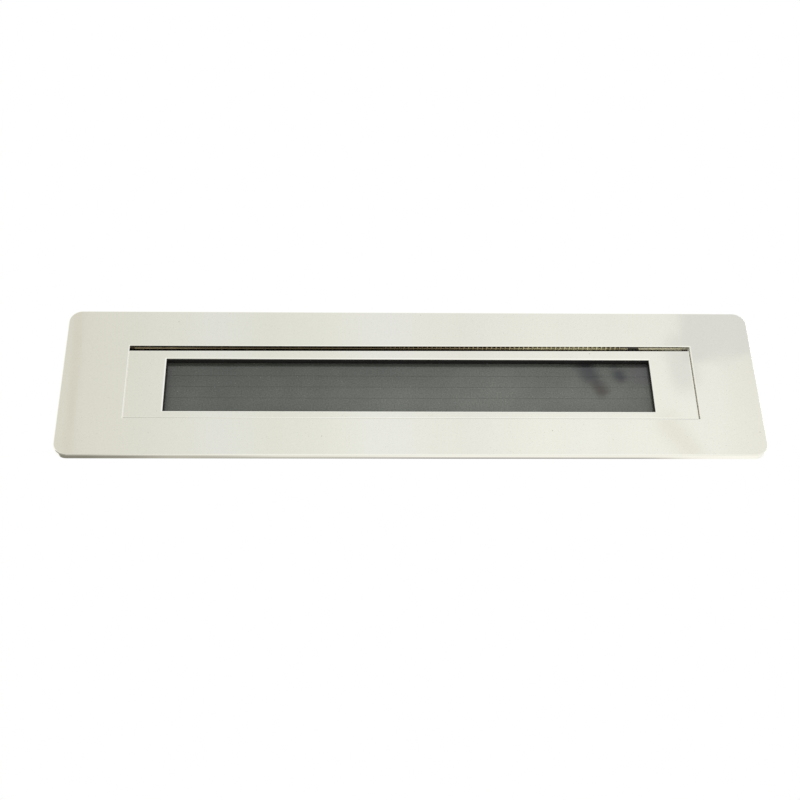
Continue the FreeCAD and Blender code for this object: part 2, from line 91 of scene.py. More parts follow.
# ---- shader helpers -----------------------------------------------------------------------------
class Shader:
    """A material with one Principled shader, and short names for the nodes that feed it."""

    def __init__(self, name):
        self.material = bpy.data.materials.new(name)
        self.material.use_nodes = True
        self.tree = self.material.node_tree
        self.tree.nodes.clear()
        self.output = self.tree.nodes.new("ShaderNodeOutputMaterial")
        self.surface = self.tree.nodes.new("ShaderNodeBsdfPrincipled")
        self.tree.links.new(self.surface.outputs[0], self.output.inputs["Surface"])
        source = self.tree.nodes.new("ShaderNodeTexCoord")
        self.place = source.outputs["Object"]
        self.normal = source.outputs["Normal"]

    def feed(self, socket, value):
        if isinstance(value, bpy.types.NodeSocket):
            self.tree.links.new(value, socket)
        else:
            socket.default_value = value

    def set(self, **values):
        for name, value in values.items():
            self.feed(self.surface.inputs[name.replace("_", " ")], value)

    def math(self, operation, a, b=0.0, clamp=False):
        node = self.tree.nodes.new("ShaderNodeMath")
        node.operation = operation
        node.use_clamp = clamp
        self.feed(node.inputs[0], a)
        self.feed(node.inputs[1], b)
        return node.outputs[0]

    def times(self, a, b, clamp=False):
        return self.math("MULTIPLY", a, b, clamp)

    def most(self, first, *others):
        for other in others:
            first = self.math("MAXIMUM", first, other)
        return first

    def vector_math(self, operation, *values):
        node = self.tree.nodes.new("ShaderNodeVectorMath")
        node.operation = operation
        for socket, value in zip(node.inputs, values):
            self.feed(socket, value)
        return node.outputs

    def axes(self, vector=None):
        node = self.tree.nodes.new("ShaderNodeSeparateXYZ")
        self.feed(node.inputs[0], vector or self.place)
        return node.outputs

    def stretch(self, scale, vector=None):
        node = self.tree.nodes.new("ShaderNodeMapping")
        self.feed(node.inputs["Vector"], vector or self.place)
        node.inputs["Scale"].default_value = scale
        return node.outputs[0]

    def noise(self, scale, detail=2.0, rough=0.5, vector=None, output="Fac"):
        node = self.tree.nodes.new("ShaderNodeTexNoise")
        self.feed(node.inputs["Vector"], vector or self.place)
        node.inputs["Scale"].default_value = scale
        node.inputs["Detail"].default_value = detail
        node.inputs["Roughness"].default_value = rough
        return node.outputs[output]

    def warp(self, reach, scale):
        """The object's coordinates, shifted here and there by noise."""
        colour = self.noise(scale, output="Color")
        shift = self.vector_math("MULTIPLY_ADD", colour, (2 * reach,) * 3, (-reach,) * 3)[0]
        return self.vector_math("ADD", self.place, shift)[0]

    def cells(self, scale):
        """The distance to the nearest of scattered points, and that point's random colour."""
        node = self.tree.nodes.new("ShaderNodeTexVoronoi")
        self.feed(node.inputs["Vector"], self.place)
        node.inputs["Scale"].default_value = scale
        return node.outputs["Distance"], node.outputs["Color"]

    def span(self, value, low, high, to_low=0.0, to_high=1.0, smooth=False):
        node = self.tree.nodes.new("ShaderNodeMapRange")
        node.interpolation_type = "SMOOTHSTEP" if smooth else "LINEAR"
        self.feed(node.inputs["Value"], value)
        node.inputs["From Min"].default_value = low
        node.inputs["From Max"].default_value = high
        node.inputs["To Min"].default_value = to_low
        node.inputs["To Max"].default_value = to_high
        return node.outputs["Result"]

    def ramp(self, value, stops):
        """A tone that eases from stop to stop; stops are (value, number or colour) in rising order."""
        low, high = stops[0][0], stops[-1][0]
        node = self.tree.nodes.new("ShaderNodeValToRGB")
        node.color_ramp.interpolation = "EASE"
        points = node.color_ramp.elements
        for i, (place, tone) in enumerate(stops):
            position = (place - low) / (high - low)
            point = points[i] if i < 2 else points.new(position)
            point.position = position
            point.color = (*tone, 1.0) if isinstance(tone, tuple) else (tone, tone, tone, 1.0)
        self.feed(node.inputs["Fac"], self.span(value, low, high))
        return node.outputs["Color"]

    def mix(self, factor, a, b, blend="MIX"):
        node = self.tree.nodes.new("ShaderNodeMix")
        node.data_type = "RGBA"
        node.blend_type = blend
        self.feed(node.inputs["Factor"], factor)
        for socket, value in ((node.inputs[6], a), (node.inputs[7], b)):
            self.feed(socket, (*value, 1.0) if isinstance(value, tuple) else value)
        return node.outputs[2]

    def bump(self, height, distance, strength, normal=None):
        node = self.tree.nodes.new("ShaderNodeBump")
        node.inputs["Strength"].default_value = strength
        node.inputs["Distance"].default_value = distance
        self.feed(node.inputs["Height"], height)
        if normal:
            self.feed(node.inputs["Normal"], normal)
        return node.outputs[0]

    def soft_edge(self, radius):
        node = self.tree.nodes.new("ShaderNodeBevel")
        node.samples = 6
        node.inputs["Radius"].default_value = radius
        return node.outputs[0]

    def stroke(self, place, start, end, inner, outer):
        """1 near the line from start to end, and 0 beyond the outer distance from it."""
        run = Vector(end) - Vector(start)
        offset = self.vector_math("SUBTRACT", place, tuple(start))[0]
        along = self.vector_math("DOT_PRODUCT", offset, tuple(run))["Value"]
        share = self.math("DIVIDE", along, run.length_squared, True)
        nearest = self.vector_math("MULTIPLY", tuple(run), share)[0]
        distance = self.vector_math("DISTANCE", offset, nearest)["Value"]
        return self.span(distance, inner, outer, 1.0, 0.0, True)

    def specks(self, scale, size, share):
        """Sparse round specks, 1 inside: one in each cell at most, in that share of the cells."""
        distance, colour = self.cells(scale)
        inside = self.span(distance, size, size * 0.45)
        chosen = self.math("GREATER_THAN", self.axes(colour)[0], 1.0 - share)
        return self.times(inside, chosen)

    def emit(self, colour):
        node = self.tree.nodes.new("ShaderNodeEmission")
        self.feed(node.inputs["Color"], colour)
        return node.outputs[0]


# ---- materials ----------------------------------------------------------------------------------
def polished_nickel():
    """Old nickel plate: nearly a mirror, warm, with fine pits and dust, and edges and walls lighter, partly from
    wear and partly as a painted highlight.
    """
    m = Shader("polished_nickel")
    x, y, z = m.axes()
    normal_x, normal_y, normal_z = m.axes(m.normal)
    facing = m.math("ABSOLUTE", normal_y)

    mottle = m.noise(1500.0, 3.0, 0.65)
    dust = m.most(m.specks(330.0, 0.075, 0.75), m.times(m.specks(700.0, 0.16, 0.3), 0.6))
    stain = m.specks(110.0, 0.036, 0.6)
    tone = m.mix(m.noise(16.0, 2.0), (0.800, 0.788, 0.704), (0.822, 0.812, 0.722))
    tone = m.mix(m.span(mottle, 0.35, 0.75, 0.0, 0.13), tone, (0.56, 0.55, 0.49))
    tone = m.mix(m.times(dust, 0.34), tone, (0.34, 0.33, 0.29))
    tone = m.mix(m.times(stain, 0.60), tone, (0.30, 0.23, 0.15))
    # edges and walls are lighter: partly wear, partly a painted highlight
    worn_edge_and_highlight = m.span(facing, 0.998, 0.980)
    tone = m.mix(worn_edge_and_highlight, tone, (0.945, 0.935, 0.860))

    # the walls between flap and plate are darker and browner, most at the left, and those at the two ends hardly
    # mirror
    in_aperture = m.times(m.math("LESS_THAN", m.math("ABSOLUTE", x), 0.130),
                          m.math("LESS_THAN", m.math("ABSOLUTE", z), 0.028))
    wall = m.times(in_aperture, m.span(facing, 0.45, 0.2))
    tone = m.mix(m.times(wall, m.span(x, 0.03, 0.07, 0.6, 0.2)), tone, (0.52, 0.48, 0.34))
    end_wall = m.times(wall, m.span(m.math("ABSOLUTE", normal_x), 0.5, 0.8))

    # the plate's lower edge is darker along its rear, between its two ends: a painted shadow
    lower_edge = m.times(m.span(normal_z, -0.6, -0.9), m.math("LESS_THAN", z, -0.036))
    lower_edge = m.times(lower_edge, m.span(y, -0.0016, -0.0006, 0, 1, True))
    shadow = m.ramp(x, ((-0.115, 0.0), (-0.047, 0.55), (0.015, 0.85), (0.094, 0.72), (0.128, 0.0)))
    tone = m.mix(m.times(lower_edge, shadow), tone, (0.19, 0.18, 0.165))

    # the rear isn't polished
    rear = m.span(normal_y, 0.4, 0.8)
    dull = m.mix(m.span(m.noise(90.0, 5.0, 0.65), 0.35, 0.7), (0.60, 0.58, 0.51), (0.47, 0.43, 0.35))
    m.set(Base_Color=m.mix(rear, tone, dull), Metallic=m.span(end_wall, 0.0, 1.0, 1.0, 0.15))

    gloss = m.span(m.noise(60.0, 4.0, 0.6), 0.3, 0.75, 0.028, 0.066)
    rough = m.math("ADD", gloss, m.times(m.most(dust, stain), 0.3))
    m.set(Roughness=m.math("ADD", rough, m.times(rear, m.span(mottle, 0.3, 0.7, 0.22, 0.34))))
    waves = m.bump(m.noise(26.0, 1.0), 0.00005, 0.6)
    hairlines = m.noise(1.0, 3.0, 0.6, m.stretch((70.0, 2600.0, 2600.0)))
    m.set(Normal=m.bump(hairlines, 0.0000025, 0.25, waves))
    return m.material


# painted dark reflections on the panel, in metres: start, end, full within this distance, gone beyond that,
# strength
DARK_REFLECTIONS = (((0.0770, 0, 0.0108), (0.0798, 0, 0.0052), 0.0004, 0.0068, 0.95),
          ((0.0792, 0, 0.0056), (0.0842, 0, -0.0030), 0.0001, 0.0052, 0.85),
          ((0.0905, 0, 0.0105), (0.0926, 0, 0.0056), 0.0001, 0.0042, 0.50),
          ((0.0922, 0, 0.0062), (0.0928, 0, 0.0046), 0.0002, 0.0054, 1.00))


def dark_panel():
    """A dark glossy sheet, hazed by dust, darker towards the top with painted shade, with a painted reflection of
    a dark thing at the right and a painted lilac reflection at the upper right.
    """
    m = Shader("dark_panel")
    x, _, z = m.axes()

    # dust haze and painted shade: lighter towards the right and the bottom, darker at the top under the frame,
    # cloudy and finely grained
    haze_and_shade = m.ramp(x, ((-0.106, 0.096), (-0.060, 0.100), (-0.040, 0.116), (0.0, 0.134), (0.036, 0.152),
                      (0.070, 0.143), (0.106, 0.124)))
    haze_and_shade = m.times(haze_and_shade, m.span(z, 0.010, -0.009, 0.74, 0.99, True))
    haze_and_shade = m.times(haze_and_shade, m.span(m.noise(40.0, 4.0, 0.6), 0.35, 0.65, 0.90, 1.10))
    haze_and_shade = m.times(haze_and_shade, m.span(m.noise(1500.0, 3.0, 0.75), 0.36, 0.64, 0.72, 1.28))
    tone = m.mix(1.0, (0.930, 1.0, 0.860), haze_and_shade, "MULTIPLY")

    # painted reflection of a dark thing, on the front only: bluish at the top and browner below
    place = m.stretch((1.0, 0.0, 1.0), m.warp(0.0016, 120.0))
    wobble = m.times(m.math("SUBTRACT", m.noise(180.0, 2.0), 0.5), 0.5)
    reflection_marks = [m.times(m.stroke(place, start, end, inner, outer), m.math("ADD", wobble, strength), True)
             for start, end, inner, outer, strength in DARK_REFLECTIONS]
    dark_reflection = m.times(m.most(*reflection_marks), m.span(m.axes(m.normal)[1], -0.2, 0.2, 1.0, 0.0))
    dark_reflection_tone = m.mix(m.span(z, 0.004, -0.002), (0.030, 0.032, 0.035), (0.046, 0.036, 0.028))
    tone = m.mix(dark_reflection, tone, dark_reflection_tone)

    # a painted reflection: a lilac corner at the upper right
    corner = m.times(m.span(x, 0.094, 0.103, 0, 1, True), m.span(z, -0.002, 0.006, 0, 1, True))
    tone = m.mix(m.times(corner, 0.8), tone, (0.080, 0.077, 0.083))

    specks = m.most(m.specks(560.0, 0.11, 0.3), m.specks(260.0, 0.06, 0.5), m.specks(150.0, 0.035, 0.4))
    tone = m.mix(m.times(specks, 0.40), tone, (0.42, 0.42, 0.39))
    m.set(Base_Color=tone, Metallic=0.0, IOR=1.55)
    gloss = m.span(m.noise(80.0, 3.0, 0.6), 0.3, 0.7, 0.09, 0.16)
    m.set(Roughness=m.math("ADD", gloss, m.times(specks, 0.5)))
    m.set(Normal=m.bump(m.noise(30.0, 1.0), 0.00005, 0.5, m.soft_edge(0.0009)))
    return m.material


def pressed_zinc(name, tone_a, tone_b):
    """Zinc-plated sheet: cloudy, with faint spangles and fine rolling lines."""
    m = Shader(name)
    spangle = m.cells(240.0)[1]
    cloud = m.noise(45.0, 4.0, 0.6)
    lines = m.noise(1.0, 3.0, 0.6, m.stretch((900.0, 60.0, 900.0)))
    tone = m.mix(cloud, tone_a, tone_b)
    tone = m.mix(m.times(m.axes(spangle)[0], 0.12), tone, tone_b)
    m.set(Base_Color=tone, Metallic=1.0)
    m.set(Roughness=m.math("ADD", m.span(cloud, 0.3, 0.7, 0.30, 0.42), m.times(lines, 0.06)))
    m.set(Normal=m.bump(lines, 0.00001, 0.35, m.soft_edge(0.00018)))
    return m.material


# how the noise of tool lines is stretched
ALONG_X = (60.0, 2400.0, 2400.0)
ALONG_Y = (1800.0, 90.0, 1800.0)
EVERY_WAY = (900.0, 900.0, 900.0)


def drawn_metal(name, tone_a, tone_b, rough, lines=ALONG_X):
    """Drawn or turned metal, with its tool lines."""
    m = Shader(name)
    draw = m.noise(1.0, 3.0, 0.65, m.stretch(lines))
    m.set(Base_Color=m.mix(m.noise(120.0, 3.0, 0.6), tone_a, tone_b), Metallic=1.0)
    m.set(Roughness=m.span(draw, 0.25, 0.75, rough * 0.75, rough * 1.25))
    m.set(Normal=m.bump(draw, 0.000008, 0.4, m.soft_edge(0.00012)))
    return m.material


def hinge_metal(name, tones, rough_stops, bare_stops, lines=ALONG_X):
    """Metal in the hinge gap: darker and browner at the left, with blotchy stains, paler and less metallic towards
    the right.
    """
    m = Shader(name)
    x = m.axes()[0]
    blotch = m.noise(1.0, 4.0, 0.7, m.stretch((260.0, 700.0, 700.0)))
    stained = m.times(m.span(blotch, 0.50, 0.66, 0.0, 0.8), m.span(x, 0.03, 0.07, 1.0, 0.4))
    tone = m.mix(stained, m.ramp(x, tones), (0.16, 0.12, 0.07))
    m.set(Base_Color=tone, Metallic=m.ramp(x, bare_stops))
    draw = m.noise(1.0, 3.0, 0.65, m.stretch(lines))
    m.set(Roughness=m.times(m.ramp(x, rough_stops), m.span(draw, 0.25, 0.75, 0.8, 1.2)))
    m.set(Normal=m.bump(draw, 0.000008, 0.4, m.soft_edge(0.00012)))
    return m.material


def brass_rod():
    tones = ((-0.130, (0.44, 0.38, 0.29)), (-0.108, (0.42, 0.36, 0.28)), (-0.086, (0.20, 0.165, 0.13)),
             (-0.060, (0.135, 0.112, 0.088)), (-0.016, (0.15, 0.125, 0.095)), (0.040, (0.30, 0.25, 0.18)),
             (0.062, (0.70, 0.65, 0.46)), (0.084, (0.80, 0.75, 0.52)), (0.092, (0.42, 0.37, 0.25)),
             (0.104, (0.97, 0.94, 0.76)), (0.130, (0.97, 0.94, 0.76)))
    rough = ((-0.130, 0.26), (0.040, 0.30), (0.070, 0.55), (0.130, 0.58))
    bare = ((-0.130, 1.0), (0.030, 1.0), (0.075, 0.80), (0.130, 0.70))
    return hinge_metal("brass_rod", tones, rough, bare)


def bronze_wire():
    tones = ((-0.014, (0.22, 0.18, 0.13)), (0.014, (0.34, 0.28, 0.195)), (0.038, (0.66, 0.58, 0.40)),
             (0.058, (0.95, 0.89, 0.60)), (0.070, (1.0, 0.97, 0.72)), (0.086, (1.0, 0.97, 0.72)),
             (0.098, (0.60, 0.54, 0.36)))
    rough = ((-0.014, 0.28), (0.030, 0.32), (0.070, 0.50), (0.098, 0.50))
    bare = ((-0.014, 1.0), (0.020, 1.0), (0.055, 0.80), (0.098, 0.80))
    return hinge_metal("bronze_wire", tones, rough, bare, EVERY_WAY)


def soft_black(name, tone, rough, scale, depth, pale_share=None):
    """Black foam or rubber with its pores; the last argument gives the share of a paler grey along X."""
    m = Shader(name)
    cloud = m.noise(90.0, 3.0, 0.6)
    lit = tuple(c * 1.9 for c in tone)
    base = m.mix(m.times(cloud, 0.6), tone, lit)
    if pale_share:
        patches = m.span(m.noise(700.0, 3.0, 0.7), 0.3, 0.7, 0.5, 1.1)
        base = m.mix(m.times(m.ramp(m.axes()[0], pale_share), patches), base, (0.50, 0.47, 0.36))
    m.set(Base_Color=base, Metallic=0.0)
    m.set(Roughness=m.span(cloud, 0.3, 0.7, rough - 0.08, rough + 0.06))
    m.set(Normal=m.bump(m.cells(scale)[0], depth, 0.6))
    return m.material


def moulded_nylon():
    """White nylon; the spacer at the left end is coloured dark brown."""
    m = Shader("white_nylon")
    cloud = m.noise(160.0, 3.0, 0.5)
    clean = m.mix(cloud, (0.74, 0.73, 0.66), (0.82, 0.81, 0.75))
    m.set(Base_Color=m.mix(m.span(m.axes()[0], -0.02, 0.02), (0.085, 0.065, 0.045), clean), Metallic=0.0)
    m.set(Roughness=m.span(cloud, 0.3, 0.7, 0.32, 0.45))
    m.set(Normal=m.bump(m.noise(2200.0, 2.0), 0.000006, 0.4))
    return m.material


finish = {
    "polished_nickel": polished_nickel(),
    "dark_panel": dark_panel(),
    "black_foam": soft_black("black_foam", (0.018, 0.018, 0.018), 0.9, 2600.0, 0.00012),
    "black_rubber": soft_black("black_rubber", (0.009, 0.009, 0.009), 0.62, 5200.0, 0.00002),
    "zinc_sheet": pressed_zinc("zinc_sheet", (0.46, 0.46, 0.445), (0.58, 0.58, 0.56)),
    "zinc_fastener": drawn_metal("zinc_fastener", (0.55, 0.56, 0.54), (0.66, 0.66, 0.62), 0.26, EVERY_WAY),
    "weld_stud": drawn_metal("weld_stud", (0.62, 0.44, 0.21), (0.72, 0.53, 0.27), 0.28, ALONG_Y),
    "brass_rod": brass_rod(),
    "bronze_wire": bronze_wire(),
    "spring_steel": drawn_metal("spring_steel", (0.10, 0.10, 0.105), (0.17, 0.17, 0.175), 0.34),
    "dark_collar": drawn_metal("dark_collar", (0.05, 0.047, 0.043), (0.09, 0.084, 0.078), 0.36),
    "white_nylon": moulded_nylon(),
}

slot_of = {part["node"]: part["material_slot"] for part in frame["record"]["subparts"]}
for name, node in frame["nodes"].items():
    node.data.materials.clear()
    node.data.materials.append(finish[slot_of[name]])


# ---- mesh helpers -------------------------------------------------------------------------------
def add_piece(name, vertices, faces, body, slot, replaced, smooth):
    """A piece that stands for CAD nodes, with finer detail; edges over smooth degrees stay sharp."""
    mesh = bpy.data.meshes.new(name)
    mesh.from_pydata(vertices, [], faces)
    mesh.validate()
    work = bmesh.new()
    work.from_mesh(mesh)
    bmesh.ops.recalc_face_normals(work, faces=work.faces)
    work.to_mesh(mesh)
    work.free()
    for polygon in mesh.polygons:
        polygon.use_smooth = True
    mesh.set_sharp_from_angle(angle=math.radians(smooth))
    mesh.materials.append(finish[slot])
    piece = bpy.data.objects.new(name, mesh)
    scene.collection.objects.link(piece)
    if body:
        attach(piece, body)
    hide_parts(*replaced)
    return piece


def around(count):
    """The angles of count points spread round a circle."""
    return [2 * math.pi * k / count for k in range(count)]


def ring(x, z, y, radius, count):
    """A circle of points about an axis along Y."""
    return [(x + radius * math.cos(a), y, z + radius * math.sin(a)) for a in around(count)]


def rounded_loop(x0, x1, z0, z1, radius, steps):
    """Points round a rectangle with rounded corners, the same number for any radius."""
    points = []
    corners = ((x1 - radius, z0 + radius, -90), (x1 - radius, z1 - radius, 0),
               (x0 + radius, z1 - radius, 90), (x0 + radius, z0 + radius, 180))
    for cx, cz, first in corners:
        for i in range(steps + 1):
            a = math.radians(first + 90 * i / steps)
            points.append((cx + radius * math.cos(a), cz + radius * math.sin(a)))
    return points


def loft(loops, endless=True):
    """Quads between neighbouring loops; endless joins last to first, otherwise both are capped."""
    n = len(loops[0])
    vertices = [p for loop in loops for p in loop]
    faces = []
    for k in range(len(loops) if endless else len(loops) - 1):
        a, b = k * n, ((k + 1) % len(loops)) * n
        for i in range(n):
            j = (i + 1) % n
            faces.append((a + i, a + j, b + j, b + i))
    if not endless:
        faces.append(tuple(range(n)))
        faces.append(tuple(range((len(loops) - 1) * n, len(loops) * n)))
    return vertices, faces


def joined(parts):
    """Several (vertices, faces) as one."""
    vertices, faces = [], []
    for part_vertices, part_faces in parts:
        base = len(vertices)
        vertices += part_vertices
        faces += [tuple(i + base for i in face) for face in part_faces]
    return vertices, faces


def sweep(points, radius, sides):
    """A tube along the points, its ends closed."""
    last = len(points) - 1
    directions = [(points[min(i + 1, last)] - points[max(i - 1, 0)]).normalized()
                  for i in range(last + 1)]
    normal = directions[0].orthogonal().normalized()
    loops = []
    for i, point in enumerate(points):
        if i:
            normal = directions[i - 1].rotation_difference(directions[i]) @ normal
        normal = (normal - directions[i] * normal.dot(directions[i])).normalized()
        other = directions[i].cross(normal)
        loops.append([tuple(point + radius * (math.cos(a) * normal + math.sin(a) * other))
                      for a in around(sides)])
    return loft(loops, endless=False)


# ---- plate and flap: sheets with a hole and rounded edges ----------------------------------------
EASE = 0.12 * MM
SHARP_CORNER_R, LEAST_CORNER_R, PLATE_CORNER_R = 0.05 * MM, 0.02 * MM, 6.0 * MM
GAP_SIDE, GAP_BOTTOM, GAP_TOP = 0.2 * MM, 0.3 * MM, 2.4 * MM
PANEL_LAP, SEAL_BED = 2.2 * MM, 0.5 * MM

PLATE = (PLATE_LOW.x, PLATE_HIGH.x, PLATE_LOW.z, PLATE_HIGH.z)
FLAP = (FLAP_LOW.x, FLAP_HIGH.x, FLAP_LOW.z, FLAP_HIGH.z)
APERTURE = (FLAP[0] - GAP_SIDE, FLAP[1] + GAP_SIDE, FLAP[2] - GAP_BOTTOM, FLAP[3] + GAP_TOP)

# how far the sides of a loop are moved, along +X or +Z; its top may slope from left to right
Shift = namedtuple("Shift", "left right bottom top_left top_right", defaults=(0.0,) * 5)


def window_box():
    """The window's walls: the panel's seal reaches behind the frame by its lap all round."""
    lo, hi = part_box("panel_seal")
    return lo.x + PANEL_LAP, hi.x - PANEL_LAP, lo.z + PANEL_LAP, hi.z - PANEL_LAP


def outline_loops(box, radius, rows, steps, shift=Shift()):
    """A loop round the box for each row (grow, y)."""
    x0, x1, z0, z1 = box
    loops = []
    for grow, y in rows:
        flat = rounded_loop(x0 + shift.left - grow, x1 + shift.right + grow, z0 + shift.bottom - grow,
                            z1 + grow, max(radius + grow, LEAST_CORNER_R), steps)
        loop = []
        for x, z in flat:
            if z > (z0 + z1) / 2:
                z += shift.top_left + (shift.top_right - shift.top_left) * (x - x0) / (x1 - x0)
            loop.append((x, y, z))
        loops.append(loop)
    return loops


def rounded_edge(face, width, depth, flat, inward):
    """(grow, y) rows of a rounded edge, from its wall to a row on the face, flat away from the wall."""
    steps = 6
    sign = -1.0 if inward else 1.0
    angles = [math.radians(90.0 * i / steps) for i in range(steps + 1)]
    rows = [(sign * width * (1 - math.cos(a)), face + depth * (1 - math.sin(a))) for a in angles]
    return rows + [(sign * flat, face)]


def rear_chamfer(rear, inward):
    """(grow, y) rows of a small chamfer, from the rear face to the wall."""
    return [(-EASE if inward else EASE, rear), (0, rear - EASE)]


def add_sheet(name, parts, body, node):
    piece = add_piece(name, *joined(parts), body, "polished_nickel", [node], 60.0)
    piece.modifiers.new("even", "WEIGHTED_NORMAL").keep_sharp = True


def plate_face():
    """The front plate: its hole's top slopes a little, and the other walls lean over near the face."""
    face, rear, corner_steps = PLATE_LOW.y, PLATE_HIGH.y, 14
    outer = rear_chamfer(rear, True) + rounded_edge(face, 0.5 * MM, 0.5 * MM, 0.6 * MM, True)
    rim = rounded_edge(face, 0.5 * MM, 0.2 * MM, 0.65 * MM, False)[::-1] + [(0, face + 0.5 * MM)]
    wall = [(0, face + 2.0 * MM)] + rear_chamfer(rear, False)[::-1]
    slope = Shift(top_right=0.38 * MM)
    lean = slope._replace(left=0.18 * MM, right=0.45 * MM, bottom=0.25 * MM)
    loops = outline_loops(PLATE, PLATE_CORNER_R, outer, corner_steps)
    loops += outline_loops(APERTURE, SHARP_CORNER_R, rim, corner_steps, lean)
    loops += outline_loops(APERTURE, SHARP_CORNER_R, wall, corner_steps, slope)
    add_sheet("plate_face", [loft(loops)], "plate", "front_plate")


def tapped_posts(rear):
    """The four posts behind the flap that the backplate's screws go into."""
    lo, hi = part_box("backplate_screws")
    head, post, bore, end = 2.8 * MM, 3.4 * MM, 1.53 * MM, FLAP_HIGH.y
    profile = ((post, rear), (post, end - EASE), (post - EASE, end), (bore + EASE, end),
               (bore, end - EASE), (bore, rear))
    return [loft([ring(x, z, y, radius, 40) for radius, y in profile])
            for x in (lo.x + head, hi.x - head) for z in (lo.z + head, hi.z - head)]


def flap_face():
    """The flap's frame round the window, its top edge a little lower at the left, and its posts."""
    face, rear, corner_steps = FLAP_LOW.y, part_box("panel_seal")[1].y - SEAL_BED, 6
    outer = rear_chamfer(rear, True) + rounded_edge(face, 0.5 * MM, 0.18 * MM, 0.65 * MM, True)
    inner = rounded_edge(face, 0.85 * MM, 0.25 * MM, 1.0 * MM, False)[::-1] + rear_chamfer(rear, False)[::-1]
    slope = Shift(top_left=-0.30 * MM, top_right=0.42 * MM)
    loops = outline_loops(FLAP, SHARP_CORNER_R, outer, corner_steps, slope)
    loops += outline_loops(window_box(), SHARP_CORNER_R, inner, corner_steps)
    add_sheet("flap_face", [loft(loops)] + tapped_posts(rear), "flap", "flap_frame")


# ---- spring, seals and lining -------------------------------------------------------------------
hinge = Vector(frame["joints"][0]["pos_m"])
WIRE = 0.7 * MM
ROD_RADIUS = (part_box("hinge_rod")[1].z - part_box("hinge_rod")[0].z) / 2


def torsion_spring():
    """The closing spring: a straight leg down the flap's rear, the coil, and a short leg on the plate."""
    turns, points_per_turn, sides = 52, 26, 10
    front_leg, rear_leg, seat = 3.0 * MM, 8.0 * MM, 0.05 * MM
    r = ROD_RADIUS + 0.15 * MM + WIRE / 2
    x0 = -12.0 * MM
    x1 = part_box("spring_collar")[0].x - 0.5 * MM - WIRE / 2
    pitch = (x1 - x0) / (turns + 1)
    rise = pitch / (2 * math.pi)
    # the last coil stops where the front leg, going straight on, just reaches the plate's rear face
    run = front_leg * r / math.hypot(r, rise)
    last = math.acos((WIRE / 2 + seat - hinge.y) / math.hypot(r, run)) - math.atan2(run, r)
    total = 2 * math.pi * turns + last

    def on_coil(a):
        return Vector((x0 + rise * a, hinge.y + r * math.cos(a), hinge.z + r * math.sin(a)))

    def along(a):
        return Vector((rise, -r * math.sin(a), r * math.cos(a))).normalized()

    points = [on_coil(0) - along(0) * rear_leg * t for t in (1.0, 0.75, 0.5, 0.3, 0.12)]
    samples = turns * points_per_turn
    points += [on_coil(total * i / samples) for i in range(samples + 1)]
    points += [on_coil(total) + along(total) * front_leg * t for t in (0.2, 0.5, 0.8, 1.0)]
    tube = sweep(points, WIRE / 2, sides)
    piece = add_piece("torsion_spring", *tube, None, "bronze_wire", ["closing_spring"], 60.0)
    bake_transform(piece)


def hinge_lip():
    """The rubber seal behind the rod: its bonded strip and the lip that tapers to a rounded tip."""
    lo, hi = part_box("hinge_seal")
    t = 0.7 * MM
    front = hi.y - t
    steps, columns = 26, 90
    shares = [i / steps for i in range(steps + 1)]
    foot, tip = hi.z - t - 0.3 * MM, lo.z + 0.3 * MM
    section = [(lo.y, hi.z), (hi.y, hi.z)]
    section += [(hi.y - 0.10 * MM * s, hi.z + (lo.z + 0.25 * MM - hi.z) * s) for s in shares]
    section += [(hi.y - 0.22 * MM, lo.z + 0.06 * MM), (hi.y - 0.35 * MM, lo.z)]
    section += [(front + 0.22 * MM, lo.z + 0.08 * MM)]
    section += [(front + 0.14 * MM * (1 - s), tip + (foot - tip) * s) for s in shares]
    section += [(front - 0.1 * MM, hi.z - t - 0.1 * MM), (front - 0.3 * MM, hi.z - t), (lo.y, hi.z - t)]

    # the lip waves a little along its length, most at its tip
    loops = []
    for k in range(columns + 1):
        x = lo.x + (hi.x - lo.x) * k / columns
        wave = abs(0.05 * MM * math.sin(x * 210.0))
        loops.append([(x, y - wave * (hi.z - z) / (hi.z - lo.z), z) for y, z in section])
    strip = loft(loops, endless=False)
    piece = add_piece("hinge_lip", *strip, None, "black_rubber", ["hinge_seal"], 50.0)
    # the lip is a paler grey towards the right, by these shares along X
    dust = ((-0.130, 0.10), (-0.100, 0.02), (0.030, 0.04), (0.070, 0.30), (0.130, 0.75))
    piece.data.materials[0] = soft_black("paler_rubber", (0.012, 0.012, 0.011), 0.7, 5200.0, 0.00002, dust)
    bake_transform(piece)


def drawn_in(value, middle, step):
    """The value moved by a step towards the middle, and no further than to it."""
    return value - math.copysign(min(step, abs(value - middle)), value - middle)


